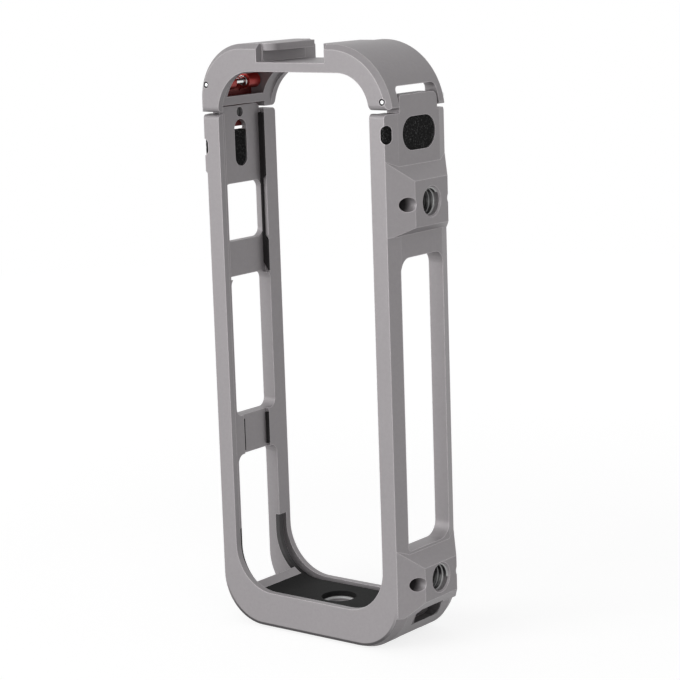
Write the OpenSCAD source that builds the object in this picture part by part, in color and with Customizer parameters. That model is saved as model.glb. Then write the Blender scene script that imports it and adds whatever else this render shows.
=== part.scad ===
// Camera cage: an upright one-piece frame, a hinged lid with a shoe slot, and a sprung latch lever.
// Millimetres. +X to the right seen from the front, +Y to the back, +Z up.
// Origin: centre of the tapped hole in the base, on the underside.

/* [Overall] */
// Width of the frame over its two side walls
frame_w = 53.6; // [52:0.2:56]
// Depth of frame and lid, front to back
cage_d = 22.6; // [21:0.2:25]
// Height over everything
cage_h = 137.4; // [130:0.5:146]
// How far the lid stands out past the frame's walls, each side
lid_proud = 0.5; // [0.3:0.05:0.6]

/* [Outside edges] */
// How far the side walls slope inwards at the front and back edges
side_slope_in = 1.2; // [0.8:0.1:1.6]
// How far along the depth that slope runs
side_slope_run = 3.5; // [3:0.1:4.5]
// How far the underside slopes up at the front and back edges
base_slope_in = 0.6; // [0.4:0.1:1]
// Radius of the two lower corners
base_corner_r = 12.5; // [11:0.5:14]
// Size of the lid's front chamfer
lid_chamfer = 1.15; // [0.8:0.05:1.5]
// Lid's rear chamfer across the width
lid_rear_chamfer_x = 1.4; // [1:0.1:1.8]
// Lid's rear chamfer along the depth
lid_rear_chamfer_y = 1.9; // [1.4:0.1:2.4]
// Radius of the lid's corner on the latch side
lid_latch_corner_r = 12.9; // [11:0.1:14]
// Radius of the lid's corner on the hinge side
lid_hinge_corner_r = 16; // [14:0.5:18]

/* [Camera space] */
// Width of the front lips, from the frame's outside
lip_wall = 5.2; // [4.8:0.1:5.6]
// Height of the front lip over the base
lip_z = 8.7; // [8:0.1:10]
// Corner radius of the front opening at the base
lip_base_r = 10.4; // [9:0.2:12]
// Depth of the front and rear lips
lip_d = 1.6; // [1.2:0.1:2.4]
// Thickness of the latch side rails
latch_wall_t = 3.5; // [3.2:0.1:3.8]
// Thickness of the hinge side wall
hinge_wall_t = 4; // [3.7:0.1:4.2]
// Height of the rear lip over the base
rear_lip_z = 7.4; // [7.3:0.1:8]
// Corner radius at the rear lip
rear_lip_r = 12; // [11:0.2:13]
// Height of the lid's front bar
lid_bar_h = 6.2; // [5.8:0.1:6.6]
// Lid opening corner radius on the latch side
lid_lip_latch_r = 9.8; // [9:0.1:11]
// Lid opening corner radius on the hinge side
lid_lip_hinge_r = 8.5; // [8:0.1:10]
// Thickness of the lid over the camera space
lid_roof_t = 5.4; // [5:0.1:5.6]
// Corner radius of the camera space in the lid, on the latch side
lid_ceiling_r = 10.5; // [9.5:0.1:11]
// The same on the hinge side
lid_ceiling_hinge_r = 5.5; // [5:0.1:6.5]

/* [Base liner] */
// Top of the rubber liner
liner_z = 7; // [6.8:0.1:7.2]
// Thickness of the liner
liner_t = 1.2; // [1:0.1:1.5]
// Inner corner radius of the liner
liner_r = 11; // [10:0.5:12]
// Height its two wings reach
liner_wing_z = 22; // [20:0.5:26]
// Width of the gap behind the liner, before the rear lip
liner_gap = 1.3; // [1:0.1:1.5]
// Width of the metal rim between the liner and the lower window's sill
sill_rim = 2.6; // [2:0.1:3.4]
// Diameter of the hole in the liner
liner_hole_d = 8.3; // [7.5:0.1:10]
// Clearance of the liner's other hole round the lower side thread
liner_thread_gap = 0.3; // [0.2:0.1:0.8]

/* [Columns and tongues] */
// Top of the columns on the hinge side, below the cage's top
hinge_column_drop = 15; // [14.6:0.1:15.6]
// Top of the columns on the latch side, below the cage's top
latch_column_drop = 16.3; // [16:0.1:16.8]
// Rounding of the column tops
column_r = 1; // [0.6:0.1:1.4]
// Depth of the columns in front of and behind the tongues
tongue_post = 4.2; // [4.1:0.1:4.6]
// Top of the hinge tongue, below the cage's top
hinge_tongue_drop = 11.1; // [10.8:0.1:11.6]
// Thickness of the hinge tongue
hinge_tongue_t = 3.4; // [3.2:0.1:3.6]
// Top of the latch tongue, below the cage's top
latch_tongue_drop = 14.9; // [14.7:0.1:15.4]
// Rounding of the hinge tongue's rear top corner
tongue_r = 2; // [1:0.1:2.4]
// Rounding of its front top corner
tongue_front_r = 0.6; // [0.4:0.1:1]
// Rounding of the latch tongue's rear top corner
latch_tongue_r = 1.4; // [1:0.1:2]
// Thickness of the recessed latch side panels
panel_t = 2.1; // [1.8:0.1:2.3]
// Depth of the lever's seat in the latch tongue's outside
lever_seat_h = 0.8; // [0.7:0.05:0.95]
// How far the latch wall stands out round the foam pad
pad_zone_rise = 0.5; // [0.3:0.05:0.5]
// Lower end of that thicker zone, below the cage's top
pad_zone_drop = 31; // [30.5:0.1:31.6]
// How far the wall is thinned at the upper window
waist_in = 0.5; // [0.4:0.05:0.6]
// Lower end of the thinned zone, below the cage's top
waist_drop = 49.4; // [48:0.2:50]

/* [Latch side windows] */
// Depth of the posts in front of and behind the lower two windows
window_post = 4.15; // [4.1:0.05:4.6]
// Depth of the posts at the upper window
upper_window_post = 4.6; // [4.4:0.05:5]
// Corner radius of the windows
window_r = 2; // [1.2:0.1:3]
// Lower edge of the upper window, below the cage's top
upper_window_low = 46.5; // [45:0.1:47]
// Upper edge of the upper window, below the cage's top
upper_window_high = 33; // [32.6:0.1:34]
// Lower edge of the middle window
middle_window_z0 = 49.2; // [47:0.1:52]
// Upper edge of the middle window, below the cage's top
middle_window_high = 54.9; // [54:0.1:58]
// Upper edge of the lower window
lower_window_z1 = 39.8; // [36:0.1:42]
// Inner end of the lower window's sill, from the frame's outside
sill_in = 7.1; // [6.8:0.1:7.4]
// Height of that inner end
sill_in_z = 8.8; // [8.4:0.1:9.4]
// Outer end of the sill, from the frame's outside
sill_out = 3.6; // [3.2:0.1:4]
// Height of that outer end
sill_out_z = 4.45; // [4:0.05:5]
// Depth in front of and behind the lower crossbar's recess
low_recess_post = 6.6; // [6:0.1:7.4]
// Depth of that recess in the rails
low_recess_t = 0.7; // [0.5:0.05:1]

/* [Hinge side window] */
// Depth of the posts at the window
side_window_post = 3.3; // [3:0.1:4]
// Lower edge of the window
side_window_z0 = 23.8; // [23.2:0.1:26]
// Upper edge of the window, below the cage's top
side_window_high = 47; // [46:0.1:50]
// Radius of its upper corners
side_window_top_r = 3; // [2:0.1:4]
// Radius of its front lower corner
side_window_low_r = 1; // [0.6:0.1:2]
// Radius of its rear lower corner
side_window_rear_r = 3.5; // [2.4:0.1:4]

/* [Side bosses] */
// How far the two bosses stand out from the wall
boss_rise = 3; // [2.4:0.1:3.4]
// Depth of the slopes in front of and behind the boss faces
boss_side = 5.1; // [4.7:0.1:5.6]
// Lower edge of the upper boss face, below the cage's top
upper_boss_low = 40.1; // [39.4:0.1:40.6]
// Upper edge of the upper boss face, below the cage's top
upper_boss_high = 29.8; // [29.4:0.1:30.4]
// Lower edge of the lower boss face
lower_boss_z0 = 11.9; // [11:0.1:12.6]
// Upper edge of the lower boss face
lower_boss_z1 = 19.9; // [19.2:0.1:20.4]
// Height of the ramp above a boss
boss_ramp_up = 3.2; // [2.6:0.1:3.4]
// Height of the ramp below the upper boss
boss_ramp_low = 1.9; // [1.6:0.1:2.4]
// Height of the ramp below the lower boss
lower_boss_ramp = 3.3; // [3:0.1:3.6]

/* [Threads and locating holes] */
// Wall diameter of the quarter inch tapped holes
thread_d = 6.35; // [6.35:0.01:6.4]
// Diameter of the countersink round them
thread_rim_d = 7; // [6.8:0.1:7.4]
// Depth of that countersink
thread_rim_h = 0.35; // [0.2:0.05:0.5]
// Upper thread, below the cage's top
upper_thread_drop = 34.9; // [34.4:0.1:35.4]
// Height of the lower thread
lower_thread_z = 16.3; // [16:0.1:16.6]
// Diameter of the locating holes
locating_d = 3.2; // [3:0.05:3.4]
// Distance between two locating holes
locating_spacing = 15; // [14.6:0.1:15.4]
// Wall left under the locating holes, from the wall's outside
locating_floor = 2.2; // [2:0.1:2.4]

/* [Strap slot] */
// Width of the strap slot
strap_w = 10; // [8:0.5:12]
// Lower edge of its mouth in the side
strap_z0 = 5.5; // [5.4:0.1:5.8]
// Upper edge of its mouth in the side
strap_z1 = 9.7; // [9.5:0.1:9.8]
// Corner radius of that mouth
strap_mouth_r = 1.9; // [1:0.1:2]
// Radius of the corner core the strap runs round
strap_core_r = 8.2; // [8.1:0.05:8.4]
// Clear height of the tunnel
strap_tunnel = 2.1; // [1.9:0.1:2.2]

/* [Foam pads] */
// How much narrower than the tongue the foam openings are, each side
foam_narrow = 0.9; // [0.8:0.05:1.3]
// Height of the hinge side foam opening
foam_h = 7.45; // [7:0.05:7.8]
// Its centre, below the cage's top
foam_drop = 19.75; // [19.5:0.05:20]
// Depth of the pocket that holds a foam pad
foam_pocket = 2.1; // [1.9:0.1:2.3]
// Thickness of a foam pad
foam_t = 1.95; // [1.5:0.05:2]
// Upper edge of the latch side foam pad, below the cage's top
latch_foam_high = 20.6; // [20.4:0.1:21]
// Lower edge of the latch side foam pad, below the cage's top
latch_foam_low = 30; // [29.6:0.1:30.2]
// Thickness of the latch side foam pad
latch_foam_t = 1.2; // [1:0.05:1.3]
// Width of the sound slots through the tongues
slot_w = 4.3; // [4.1:0.1:4.6]
// Lower end of the latch side sound slot, below the cage's top
slot_low = 29.2; // [28.4:0.1:29.4]
// Upper end of the latch side sound slot, below the cage's top
slot_high = 18.2; // [18:0.1:18.6]
// How far the latch side pad's raised part stays behind the tongue's inner face
slot_foam_back = 0.15; // [0.1:0.05:0.4]
// Clearance of that raised part in its slot, all round
slot_foam_clear = 0.1; // [0.05:0.05:0.3]
// Width of the two sound slots in the front edges
front_slot_w = 2.5; // [2.2:0.1:2.8]
// Height of those slots
front_slot_h = 4.1; // [3.6:0.1:4.4]
// How far they cut into the front faces
front_slot_in = 1; // [0.8:0.1:1.2]
// How far their foam plugs stay below their mouths
plug_back = 0.15; // [0.1:0.05:0.4]
// Front sound slot on the hinge side, below the cage's top
hinge_front_drop = 19.5; // [19:0.1:20]
// Front sound slot on the latch side, below the cage's top
latch_front_drop = 23.7; // [23:0.1:24.4]
// Depth of the front sound slots
front_slot_depth = 1.8; // [1.6:0.1:2]
// Angle at which they enter the edges
front_turn = 45; // [42:1:50]

/* [Cushion strips] */
// Thickness of the cushion strips along the depth
strip_t = 0.6; // [0.5:0.05:0.8]
// Width of the front strips, which stay hidden behind the front lip
front_strip_w = 0.5; // [0.4:0.05:0.6]
// Width left of a strip beside the upper window
strip_waist = 0.45; // [0.4:0.05:0.6]
// Upper end of the strips on the latch side, below the cage's top
strip_high = 17.2; // [16.9:0.1:18]
// Lower end of the strip on the lower crossbar
low_strip_z0 = 40.6; // [40.2:0.1:41.5]
// Upper end of the strip on the lower crossbar
low_strip_z1 = 48.2; // [47:0.1:48.8]
// Lower end of the strips on the hinge side, below the cage's top
hinge_strip_low = 25.8; // [25:0.1:26.2]
// Upper end of the strips on the hinge side, below the cage's top
hinge_strip_high = 15.8; // [15.6:0.1:16.6]
// Thickness of the rubber pad under the lid
lid_pad_t = 0.7; // [0.6:0.05:0.75]
// Distance of that pad from where the ceiling starts to curve
lid_pad_end = 1.8; // [1:0.1:4]
// Distance of that pad from the front and back faces
lid_pad_edge = 3.8; // [2.8:0.1:5]

/* [Lid] */
// Height of the lid on the hinge side
lid_hinge_h = 14.2; // [13.8:0.1:14.4]
// Height of the lid on the latch side
lid_latch_h = 15.7; // [15.2:0.1:15.8]
// Rounding of the lid's lower corners, seen from the side
ear_r = 1.2; // [1.2:0.1:1.6]
// Gap between the hinge tongue and the lid, each side
hinge_cut_gap = 0.4; // [0.3:0.05:0.7]
// Upper edge of that cut-out, below the cage's top
hinge_cut_drop = 9.2; // [8.7:0.1:9.3]
// Radius of its corners
hinge_cut_r = 1.2; // [0.8:0.1:1.6]
// Gap between the latch tongue and the lid, each side
latch_cut_gap = 0.4; // [0.3:0.05:0.7]
// Lower edge of the web over the latch tongue, below the cage's top
web_low = 14.5; // [14.2:0.1:14.6]
// Lower edge of the lever window in the lid's inner wall, below the cage's top
pocket_low = 12.5; // [12.1:0.1:12.8]
// Upper edge of that window, below the cage's top
pocket_high = 6.4; // [6.3:0.1:7.4]
// Outer face of the web, from the frame's outside
web_back = 2.4; // [2.2:0.1:2.6]

/* [Shoe slot] */
// Depth of the shoe slot's floor
shoe_depth = 4.1; // [3.8:0.1:4.3]
// Thickness of the shoe lips
shoe_lip_t = 1.6; // [1.5:0.05:1.8]
// Width of the slot under the lips
shoe_w = 18.7; // [18.6:0.05:19]
// Width between the lips
shoe_gap = 13.2; // [12.6:0.1:13.4]
// Width of the entry at the front face
shoe_entry_w = 19.4; // [19.2:0.1:19.8]
// Depth of the straight part of that entry
shoe_entry_d = 2; // [1.6:0.1:2.4]
// Radius of the lead-in on the lips
shoe_lead_r = 3.1; // [2.6:0.05:3.1]
// Length of the shoe, from the front face
shoe_l = 17.5; // [17:0.1:18.5]
// Width of the step behind it, open to the back
shoe_step_w = 20.8; // [20:0.1:21.4]
// How much lower than the shoe's floor that step is
shoe_step_drop = 0.4; // [0.3:0.05:0.5]

/* [Hinge pin] */
// Pin diameter, both pins
pin_d = 1.5; // [1.4:0.05:1.6]
// Running clearance of a pin, all round
pin_clear = 0.05; // [0.03:0.01:0.08]
// Hinge pin, from the wall's outside
hinge_pin_in = 1.66; // [1.6:0.02:1.8]
// Hinge pin, below the cage's top
hinge_pin_drop = 12.35; // [12.3:0.05:12.6]
// How far the pin ends stand back from the lid's faces
pin_back = 0.25; // [0.1:0.05:0.4]

/* [Latch] */
// Latch pin, from the wall's outside
latch_pin_in = 1.86; // [1.7:0.02:1.9]
// Latch pin, below the cage's top
latch_pin_drop = 9.4; // [9.2:0.05:9.6]
// How much narrower than the tongue the lever is, each side
lever_narrow = 0.9; // [0.7:0.05:1.2]
// Gap on each side of the lever
lever_gap = 0.35; // [0.3:0.05:0.5]
// Lower end of the lever, below the cage's top
lever_low = 19.9; // [19.6:0.1:20]
// Inner face of the lever's blade, from the wall's outside
lever_back = 0.65; // [0.5:0.05:0.7]
// Upper end of the lever, below the cage's top
lever_high = 4.2; // [4:0.1:4.8]
// Radius of the lever's barrel round the pin
barrel_r = 1.75; // [1.6:0.05:1.8]
// Room behind the lever's thumb end, from the inner wall
lever_swing_room = 2.7; // [2.5:0.1:3]
// Width of the slot for the spring in the barrel
spring_slot_w = 4.6; // [4.4:0.1:5]
// Lock bolt, below the cage's top
bolt_drop = 16.5; // [16.4:0.05:16.6]
// Diameter of the lock bolt
bolt_d = 2; // [1.8:0.1:2]
// Diameter of the hole it drops into
bolt_hole_d = 2.3; // [2.3:0.05:2.4]
// Inner end of the bolt, from the wall's outside
bolt_in = 1.5; // [1.4:0.05:1.8]
// How deep the bolt sits in the lever
bolt_seat = 0.5; // [0.4:0.05:0.6]

/* [Latch spring] */
// Diameter of the spring wire
wire_d = 0.4; // [0.36:0.02:0.44]
// Radius of the wire's middle line
coil_r = 1.12; // [1.08:0.02:1.14]
// Number of turns
coil_turns = 3; // [3:1:3]
// Distance between two turns
coil_pitch = 0.95; // [0.9:0.01:1]
// Length of the spring's upper leg
leg_l = 1.6; // [1.4:0.1:1.8]

/* [Hidden] */
half_w = frame_w / 2;
half_d = cage_d / 2;
latch_wall_x = half_w - latch_wall_t;
hinge_wall_x = half_w - hinge_wall_t;
lid_lip_z = cage_h - lid_bar_h;
lid_ceiling_z = cage_h - lid_roof_t;
hinge_column_z = cage_h - hinge_column_drop;
latch_column_z = cage_h - latch_column_drop;
tongue_half = half_d - tongue_post;
hinge_tongue_z = cage_h - hinge_tongue_drop;
hinge_tongue_x = half_w - hinge_tongue_t;
latch_tongue_z = cage_h - latch_tongue_drop;
panel_x = half_w - panel_t;
tongue_back_x = half_w - lever_seat_h;
pad_zone_x = half_w + pad_zone_rise;
pad_zone_z = cage_h - pad_zone_drop;
waist_x = half_w - waist_in;
waist_z = cage_h - waist_drop;
window_half = half_d - window_post;
upper_window_half = half_d - upper_window_post;
upper_window_z0 = cage_h - upper_window_low;
upper_window_z1 = cage_h - upper_window_high;
middle_window_z1 = cage_h - middle_window_high;
sill_in_x = half_w - sill_in;
sill_out_x = half_w - sill_out;
low_recess_half = half_d - low_recess_post;
low_recess_x = latch_wall_x + low_recess_t;
rim_x = sill_in_x - sill_rim;
side_window_half = half_d - side_window_post;
side_window_z1 = cage_h - side_window_high;
boss_x = half_w + boss_rise;
boss_half = half_d - boss_side;
upper_boss_z0 = cage_h - upper_boss_low;
upper_boss_z1 = cage_h - upper_boss_high;
upper_thread_z = cage_h - upper_thread_drop;
locating_floor_x = half_w - locating_floor;
foam_z = cage_h - foam_drop;
latch_foam_z1 = cage_h - latch_foam_high;
latch_foam_z0 = cage_h - latch_foam_low;
slot_z0 = cage_h - slot_low;
slot_z1 = cage_h - slot_high;
hinge_front_z = cage_h - hinge_front_drop;
latch_front_z = cage_h - latch_front_drop;
strip_z1 = cage_h - strip_high;
hinge_strip_z0 = cage_h - hinge_strip_low;
hinge_strip_z1 = cage_h - hinge_strip_high;
lid_hinge_z0 = cage_h - lid_hinge_h;
lid_latch_z0 = cage_h - lid_latch_h;
hinge_cut_z = cage_h - hinge_cut_drop;
web_z0 = cage_h - web_low;
pocket_z0 = cage_h - pocket_low;
pocket_z1 = cage_h - pocket_high;
web_x = half_w - web_back;
shoe_floor_z = cage_h - shoe_depth;
shoe_lip_z = cage_h - shoe_lip_t;
hinge_pin_x = half_w - hinge_pin_in;
hinge_pin_z = cage_h - hinge_pin_drop;
latch_pin_x = half_w - latch_pin_in;
latch_pin_z = cage_h - latch_pin_drop;
lever_z0 = cage_h - lever_low;
lever_z1 = cage_h - lever_high;
lever_in_x = half_w - lever_back;
bolt_z = cage_h - bolt_drop;
bolt_in_x = half_w - bolt_in;
hinge_cut_half = tongue_half + hinge_cut_gap;
latch_cut_half = tongue_half + latch_cut_gap;
lever_w = (tongue_half - lever_narrow) * 2;
foam_w = (tongue_half - foam_narrow) * 2;
lid_w = frame_w + lid_proud * 2;
face_x = half_w - side_slope_in;
slope_y = half_d - side_slope_run;
corner_x = half_w - base_corner_r;
face_corner_r = face_x - corner_x;
face_corner_z = face_corner_r + base_slope_in;
lip_half = half_w - lip_wall;
lid_half = lid_w / 2;
lip_in_y = half_d - lip_d;
shoe_end_y = shoe_l - half_d;
lid_pad_d = cage_d - lid_pad_edge * 2;
lid_pad_w = (latch_wall_x - lid_ceiling_r - lid_pad_end) * 2;
over = 0.5;
deep_over = 6 * over;
seat = 0.3;
liner_floor_z = liner_z - liner_t;
liner_half = lip_in_y - liner_gap;
liner_x_l = latch_wall_x;
liner_x_r = hinge_wall_x;
pocket_half = lever_w / 2 + lever_gap;
lever_out_x = lid_half;
fine = 96;
small = 48;
hinge_foam_x = half_w - foam_pocket;
latch_foam_x = pad_zone_x - latch_foam_t;
coil_l = coil_turns * coil_pitch;
rings_per_turn = 8;
wire_sides = 6;

// A flat outline drawn as X across and Z up, made solid from y0 to y1
module y_prism(y0, y1) {
    translate([0, y1, 0]) rotate([90, 0, 0]) linear_extrude(height = y1 - y0) children();
}

// A flat outline drawn as Y across and Z up, made solid from x0 to x1
module x_prism(x0, x1) {
    translate([x0, 0, 0]) rotate([90, 0, 90]) linear_extrude(height = x1 - x0) children();
}

// A flat outline drawn as X across and Y up, made solid from z0 to z1
module z_prism(z0, z1) {
    translate([0, 0, z0]) linear_extrude(height = z1 - z0) children();
}

// A ring whose profile is drawn as radius across and Y up, turned about a line along Y
module y_turned(x, z) {
    translate([x, 0, z]) rotate([-90, 0, 0]) rotate_extrude($fn = fine) children();
}

module block(x0, x1, y0, y1, z0, z1) {
    translate([x0, y0, z0]) cube([x1 - x0, y1 - y0, z1 - z0]);
}

module rect(a0, a1, b0, b1) {
    translate([a0, b0]) square([a1 - a0, b1 - b0]);
}

module round_rect(a0, a1, b0, b1, r) {
    rect(a0 + r, a1 - r, b0, b1);
    rect(a0, a1, b0 + r, b1 - r);
    for (a = [a0 + r, a1 - r], b = [b0 + r, b1 - r]) translate([a, b]) circle(r = r, $fn = small);
}

// A slot outline with round ends, the long way across
module wide_slot(w, h) {
    rect((h - w) / 2, (w - h) / 2, -h / 2, h / 2);
    for (side = [-1, 1]) translate([side * (w - h) / 2, 0]) circle(r = h / 2, $fn = small);
}

module both_ends() {
    children();
    mirror([0, 1, 0]) children();
}

module y_cylinder(x, z, r, y0, y1) {
    translate([x, y1, z]) rotate([90, 0, 0]) cylinder(r = r, h = y1 - y0, $fn = small);
}

module x_cylinder(y, z, r, x0, x1) {
    translate([x0, y, z]) rotate([0, 90, 0]) cylinder(r = r, h = x1 - x0, $fn = small);
}

// An upright U outline: open at the top, one radius at both lower corners
module u_outline(xl, xr, z0, z1, r) {
    rect(-xl + r, xr - r, z0, z0 + r + over);
    rect(-xl, xr, z0 + r, z1);
    intersection() {
        rect(-xl, xr, z0, z0 + r + over);
        union() {
            translate([-xl + r, z0 + r]) circle(r = r, $fn = fine);
            translate([xr - r, z0 + r]) circle(r = r, $fn = fine);
        }
    }
}

// The same upside down, with its own radius at each upper corner
module arch_outline(xl, xr, z0, z1, rl, rr) {
    rect(-xl + rl, xr - rr, z0, z1);
    rect(-xl, 0, z0, z1 - rl);
    rect(0, xr, z0, z1 - rr);
    translate([-xl + rl, z1 - rl]) circle(r = rl, $fn = fine);
    translate([xr - rr, z1 - rr]) circle(r = rr, $fn = fine);
}

// Frame

module wall_section(x_mid, x_face) {
    polygon([[-x_face, -half_d], [x_face, -half_d], [x_mid, -slope_y], [x_mid, slope_y],
        [x_face, half_d], [-x_face, half_d], [-x_mid, slope_y], [-x_mid, -slope_y]]);
}

module frame_slopes() {
    z_low = base_slope_in - side_slope_in;
    z_prism(face_corner_z, hinge_tongue_z + over) wall_section(half_w, face_x);
    x_prism(-corner_x, corner_x) polygon([[-half_d, base_slope_in], [-slope_y, z_low], [slope_y, z_low],
        [half_d, base_slope_in], [half_d, face_corner_z + over], [-half_d, face_corner_z + over]]);
    for (side = [-corner_x, corner_x]) y_turned(side, face_corner_z)
        polygon([[0, -half_d], [face_corner_r, -half_d], [face_corner_r + side_slope_in, -slope_y],
            [face_corner_r + side_slope_in, slope_y], [face_corner_r, half_d], [0, half_d]]);
}

module frame_outside() {
    intersection() {
        y_prism(-half_d - over, half_d + over)
            u_outline(half_w, half_w, 0, hinge_tongue_z, base_corner_r);
        frame_slopes();
    }
}

module pad_zone() {
    rise = pad_zone_x - half_w;
    intersection() {
        z_prism(pad_zone_z, latch_column_z) polygon([[-latch_wall_x, -half_d],
            [-face_x - rise, -half_d], [-pad_zone_x, -slope_y], [-pad_zone_x, slope_y],
            [-face_x - rise, half_d], [-latch_wall_x, half_d]]);
        y_prism(-half_d - over, half_d + over) polygon([[-latch_wall_x, pad_zone_z],
            [-face_x + side_slope_in, pad_zone_z], [-face_x - rise, pad_zone_z + rise + side_slope_in],
            [-pad_zone_x, pad_zone_z + rise + side_slope_in * over + side_slope_in],
            [-pad_zone_x, latch_column_z], [-latch_wall_x, latch_column_z]]);
    }
}

module boss(z0, z1, ramp_low) {
    root_x = half_w - boss_rise * over;
    intersection() {
        z_prism(z0 - ramp_low - over, z1 + boss_ramp_up + boss_rise) polygon([[root_x - boss_rise, -half_d],
            [face_x, -half_d], [boss_x, -boss_half], [boss_x, boss_half], [face_x, half_d],
            [root_x - boss_rise, half_d]]);
        y_prism(-half_d - over, half_d + over) polygon([[root_x - boss_rise, z0 - ramp_low],
            [half_w - seat, z0 - ramp_low], [boss_x, z0], [boss_x, z1],
            [root_x - boss_rise, z1 + boss_ramp_up * (boss_x - root_x + boss_rise) / boss_rise]]);
    }
}

module camera_space() {
    top = hinge_tongue_z + deep_over;
    y_prism(-half_d - over, half_d + over) u_outline(lip_half, lip_half, lip_z, top, lip_base_r);
    y_prism(-lip_in_y, half_d + over)
        u_outline(latch_wall_x, hinge_wall_x, rear_lip_z, top, rear_lip_r);
    y_prism(-lip_in_y, lip_in_y) u_outline(latch_wall_x, hinge_wall_x, liner_z, top, liner_r);
    difference() {
        y_prism(-lip_in_y, lip_in_y) u_outline(liner_x_l + liner_t, liner_x_r + liner_t,
            liner_floor_z, liner_wing_z, liner_r + liner_t);
        sill_rim_block();
    }
}

// The part of the corner beside the lower window that the liner leaves to the frame
module sill_rim_block() {
    block(-half_w - over, -rim_x, -window_half, window_half, 0, liner_wing_z + over);
}

module column_tops() {
    out = lid_w;
    both_ends() {
        x_prism(0, out) difference() {
            rect(tongue_half, half_d + over, hinge_column_z - column_r, hinge_tongue_z + over);
            rect(tongue_half - over, half_d - column_r, hinge_column_z - deep_over, hinge_column_z);
            translate([half_d - column_r, hinge_column_z - column_r]) circle(r = column_r, $fn = small);
        }
        x_prism(-out, 0) difference() {
            rect(tongue_half, half_d + over, latch_column_z - column_r, hinge_tongue_z + over);
            rect(tongue_half - over, half_d - column_r, latch_column_z - deep_over, latch_column_z);
            translate([half_d - column_r, latch_column_z - column_r]) circle(r = column_r, $fn = small);
        }
    }
    x_prism(0, out) corner_rest(tongue_half, hinge_tongue_z, tongue_r);
    mirror([0, 1, 0]) x_prism(0, out) corner_rest(tongue_half, hinge_tongue_z, tongue_front_r);
    x_prism(-out, 0) corner_rest(tongue_half, latch_tongue_z, latch_tongue_r);
    block(-out, 0, -half_d, half_d, latch_tongue_z, hinge_tongue_z + over);
}

// What rounding takes off an outline's upper right corner at (a, b)
module corner_rest(a, b, r) {
    difference() {
        rect(a - r, a + over, b - r, b + over);
        translate([a - r, b - r]) circle(r = r, $fn = small);
    }
}

// The latch side: recessed panels, three windows, the lever's seat and the bolt hole
module latch_side_cuts() {
    out = -half_w - deep_over;
    inside = -latch_wall_x + over;
    block(-panel_x, inside, -window_half, window_half, middle_window_z1 - over, hinge_tongue_z);
    block(-low_recess_x, inside, -low_recess_half, low_recess_half, lower_window_z1 - over,
        middle_window_z0 + over);
    x_prism(out, inside) round_rect(-upper_window_half, upper_window_half, upper_window_z0,
        upper_window_z1, window_r);
    x_prism(out, inside) round_rect(-window_half, window_half, middle_window_z0, middle_window_z1,
        window_r);
    y_prism(-window_half, window_half) polygon([[out, lower_window_z1 - window_r],
        [-lip_half + lip_d, lower_window_z1 - window_r], [-sill_in_x + lip_d, sill_in_z + lip_d],
        [-sill_in_x, sill_in_z], [-sill_out_x, sill_out_z], [out, sill_out_z - boss_rise]]);
    x_prism(out, inside) round_rect(-window_half, window_half, lower_window_z1 - base_corner_r,
        lower_window_z1, window_r);
    y_prism(-half_d - over, half_d + over) polygon([[out, waist_z - (half_w - waist_x)],
        [-half_w, waist_z - (half_w - waist_x)], [-waist_x, waist_z], [-waist_x, pad_zone_z],
        [out, pad_zone_z]]);
    block(out, -tongue_back_x, -pocket_half, pocket_half, latch_foam_z1 + seat, hinge_tongue_z);
    translate([0, 0, (slot_z0 + slot_z1) / 2]) x_prism(out, inside) rotate(90)
        wide_slot(slot_z1 - slot_z0, slot_w);
    block(out, -latch_foam_x, -foam_w / 2, foam_w / 2, latch_foam_z0, latch_foam_z1 + deep_over);
    x_cylinder(0, bolt_z, bolt_hole_d / 2, out, inside);
    mirror([1, 0, 0]) front_slot(face_x + pad_zone_rise, latch_front_z);
}

// A sound slot across a front edge, sunk towards the middle of the column at 45 degrees
module front_slot(edge_x, z) {
    reach = front_slot_w / 2 * cos(front_turn);
    translate([edge_x - front_slot_in + reach, -half_d + reach, z]) rotate([0, 0, -front_turn])
        x_prism(-front_slot_depth, front_slot_w) rotate(90) wide_slot(front_slot_h, front_slot_w);
}

// The hinge side: one long window, the threads, the foam pocket and the strap slot
module hinge_side_cuts() {
    out = boss_x + over;
    inside = hinge_wall_x - over;
    x_prism(inside, out) difference() {
        union() {
            round_rect(-side_window_half, side_window_half, side_window_z0,
                side_window_z1 - side_window_top_r, side_window_low_r);
            round_rect(-side_window_half, side_window_half, side_window_z1 - base_corner_r, side_window_z1,
                side_window_top_r);
        }
        mirror([0, 1]) corner_rest(side_window_half, -side_window_z0, side_window_rear_r);
    }
    block(inside, hinge_tongue_x, -tongue_half, tongue_half, upper_boss_z1 + boss_ramp_up,
        hinge_tongue_z + over);
    for (z = [upper_thread_z, lower_thread_z]) {
        x_cylinder(0, z, thread_d / 2, inside - deep_over, out);
        translate([boss_x - thread_rim_h, 0, z]) rotate([0, 90, 0])
            cylinder(r1 = thread_d / 2, r2 = thread_rim_d / 2, h = thread_rim_h, $fn = small);
        for (y = [-locating_spacing / 2, locating_spacing / 2])
            x_cylinder(y, z, locating_d / 2, locating_floor_x, out);
    }
    translate([0, 0, foam_z]) {
        x_prism(hinge_foam_x, out) wide_slot(foam_w, foam_h);
        x_prism(inside, out) wide_slot(foam_w - foam_pocket * 2, slot_w);
    }
    y_cylinder(hinge_pin_x, hinge_pin_z, pin_d / 2 + pin_clear, -tongue_half - over,
        tongue_half + over);
    front_slot(face_x, hinge_front_z);
    strap_slot();
}

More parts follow.
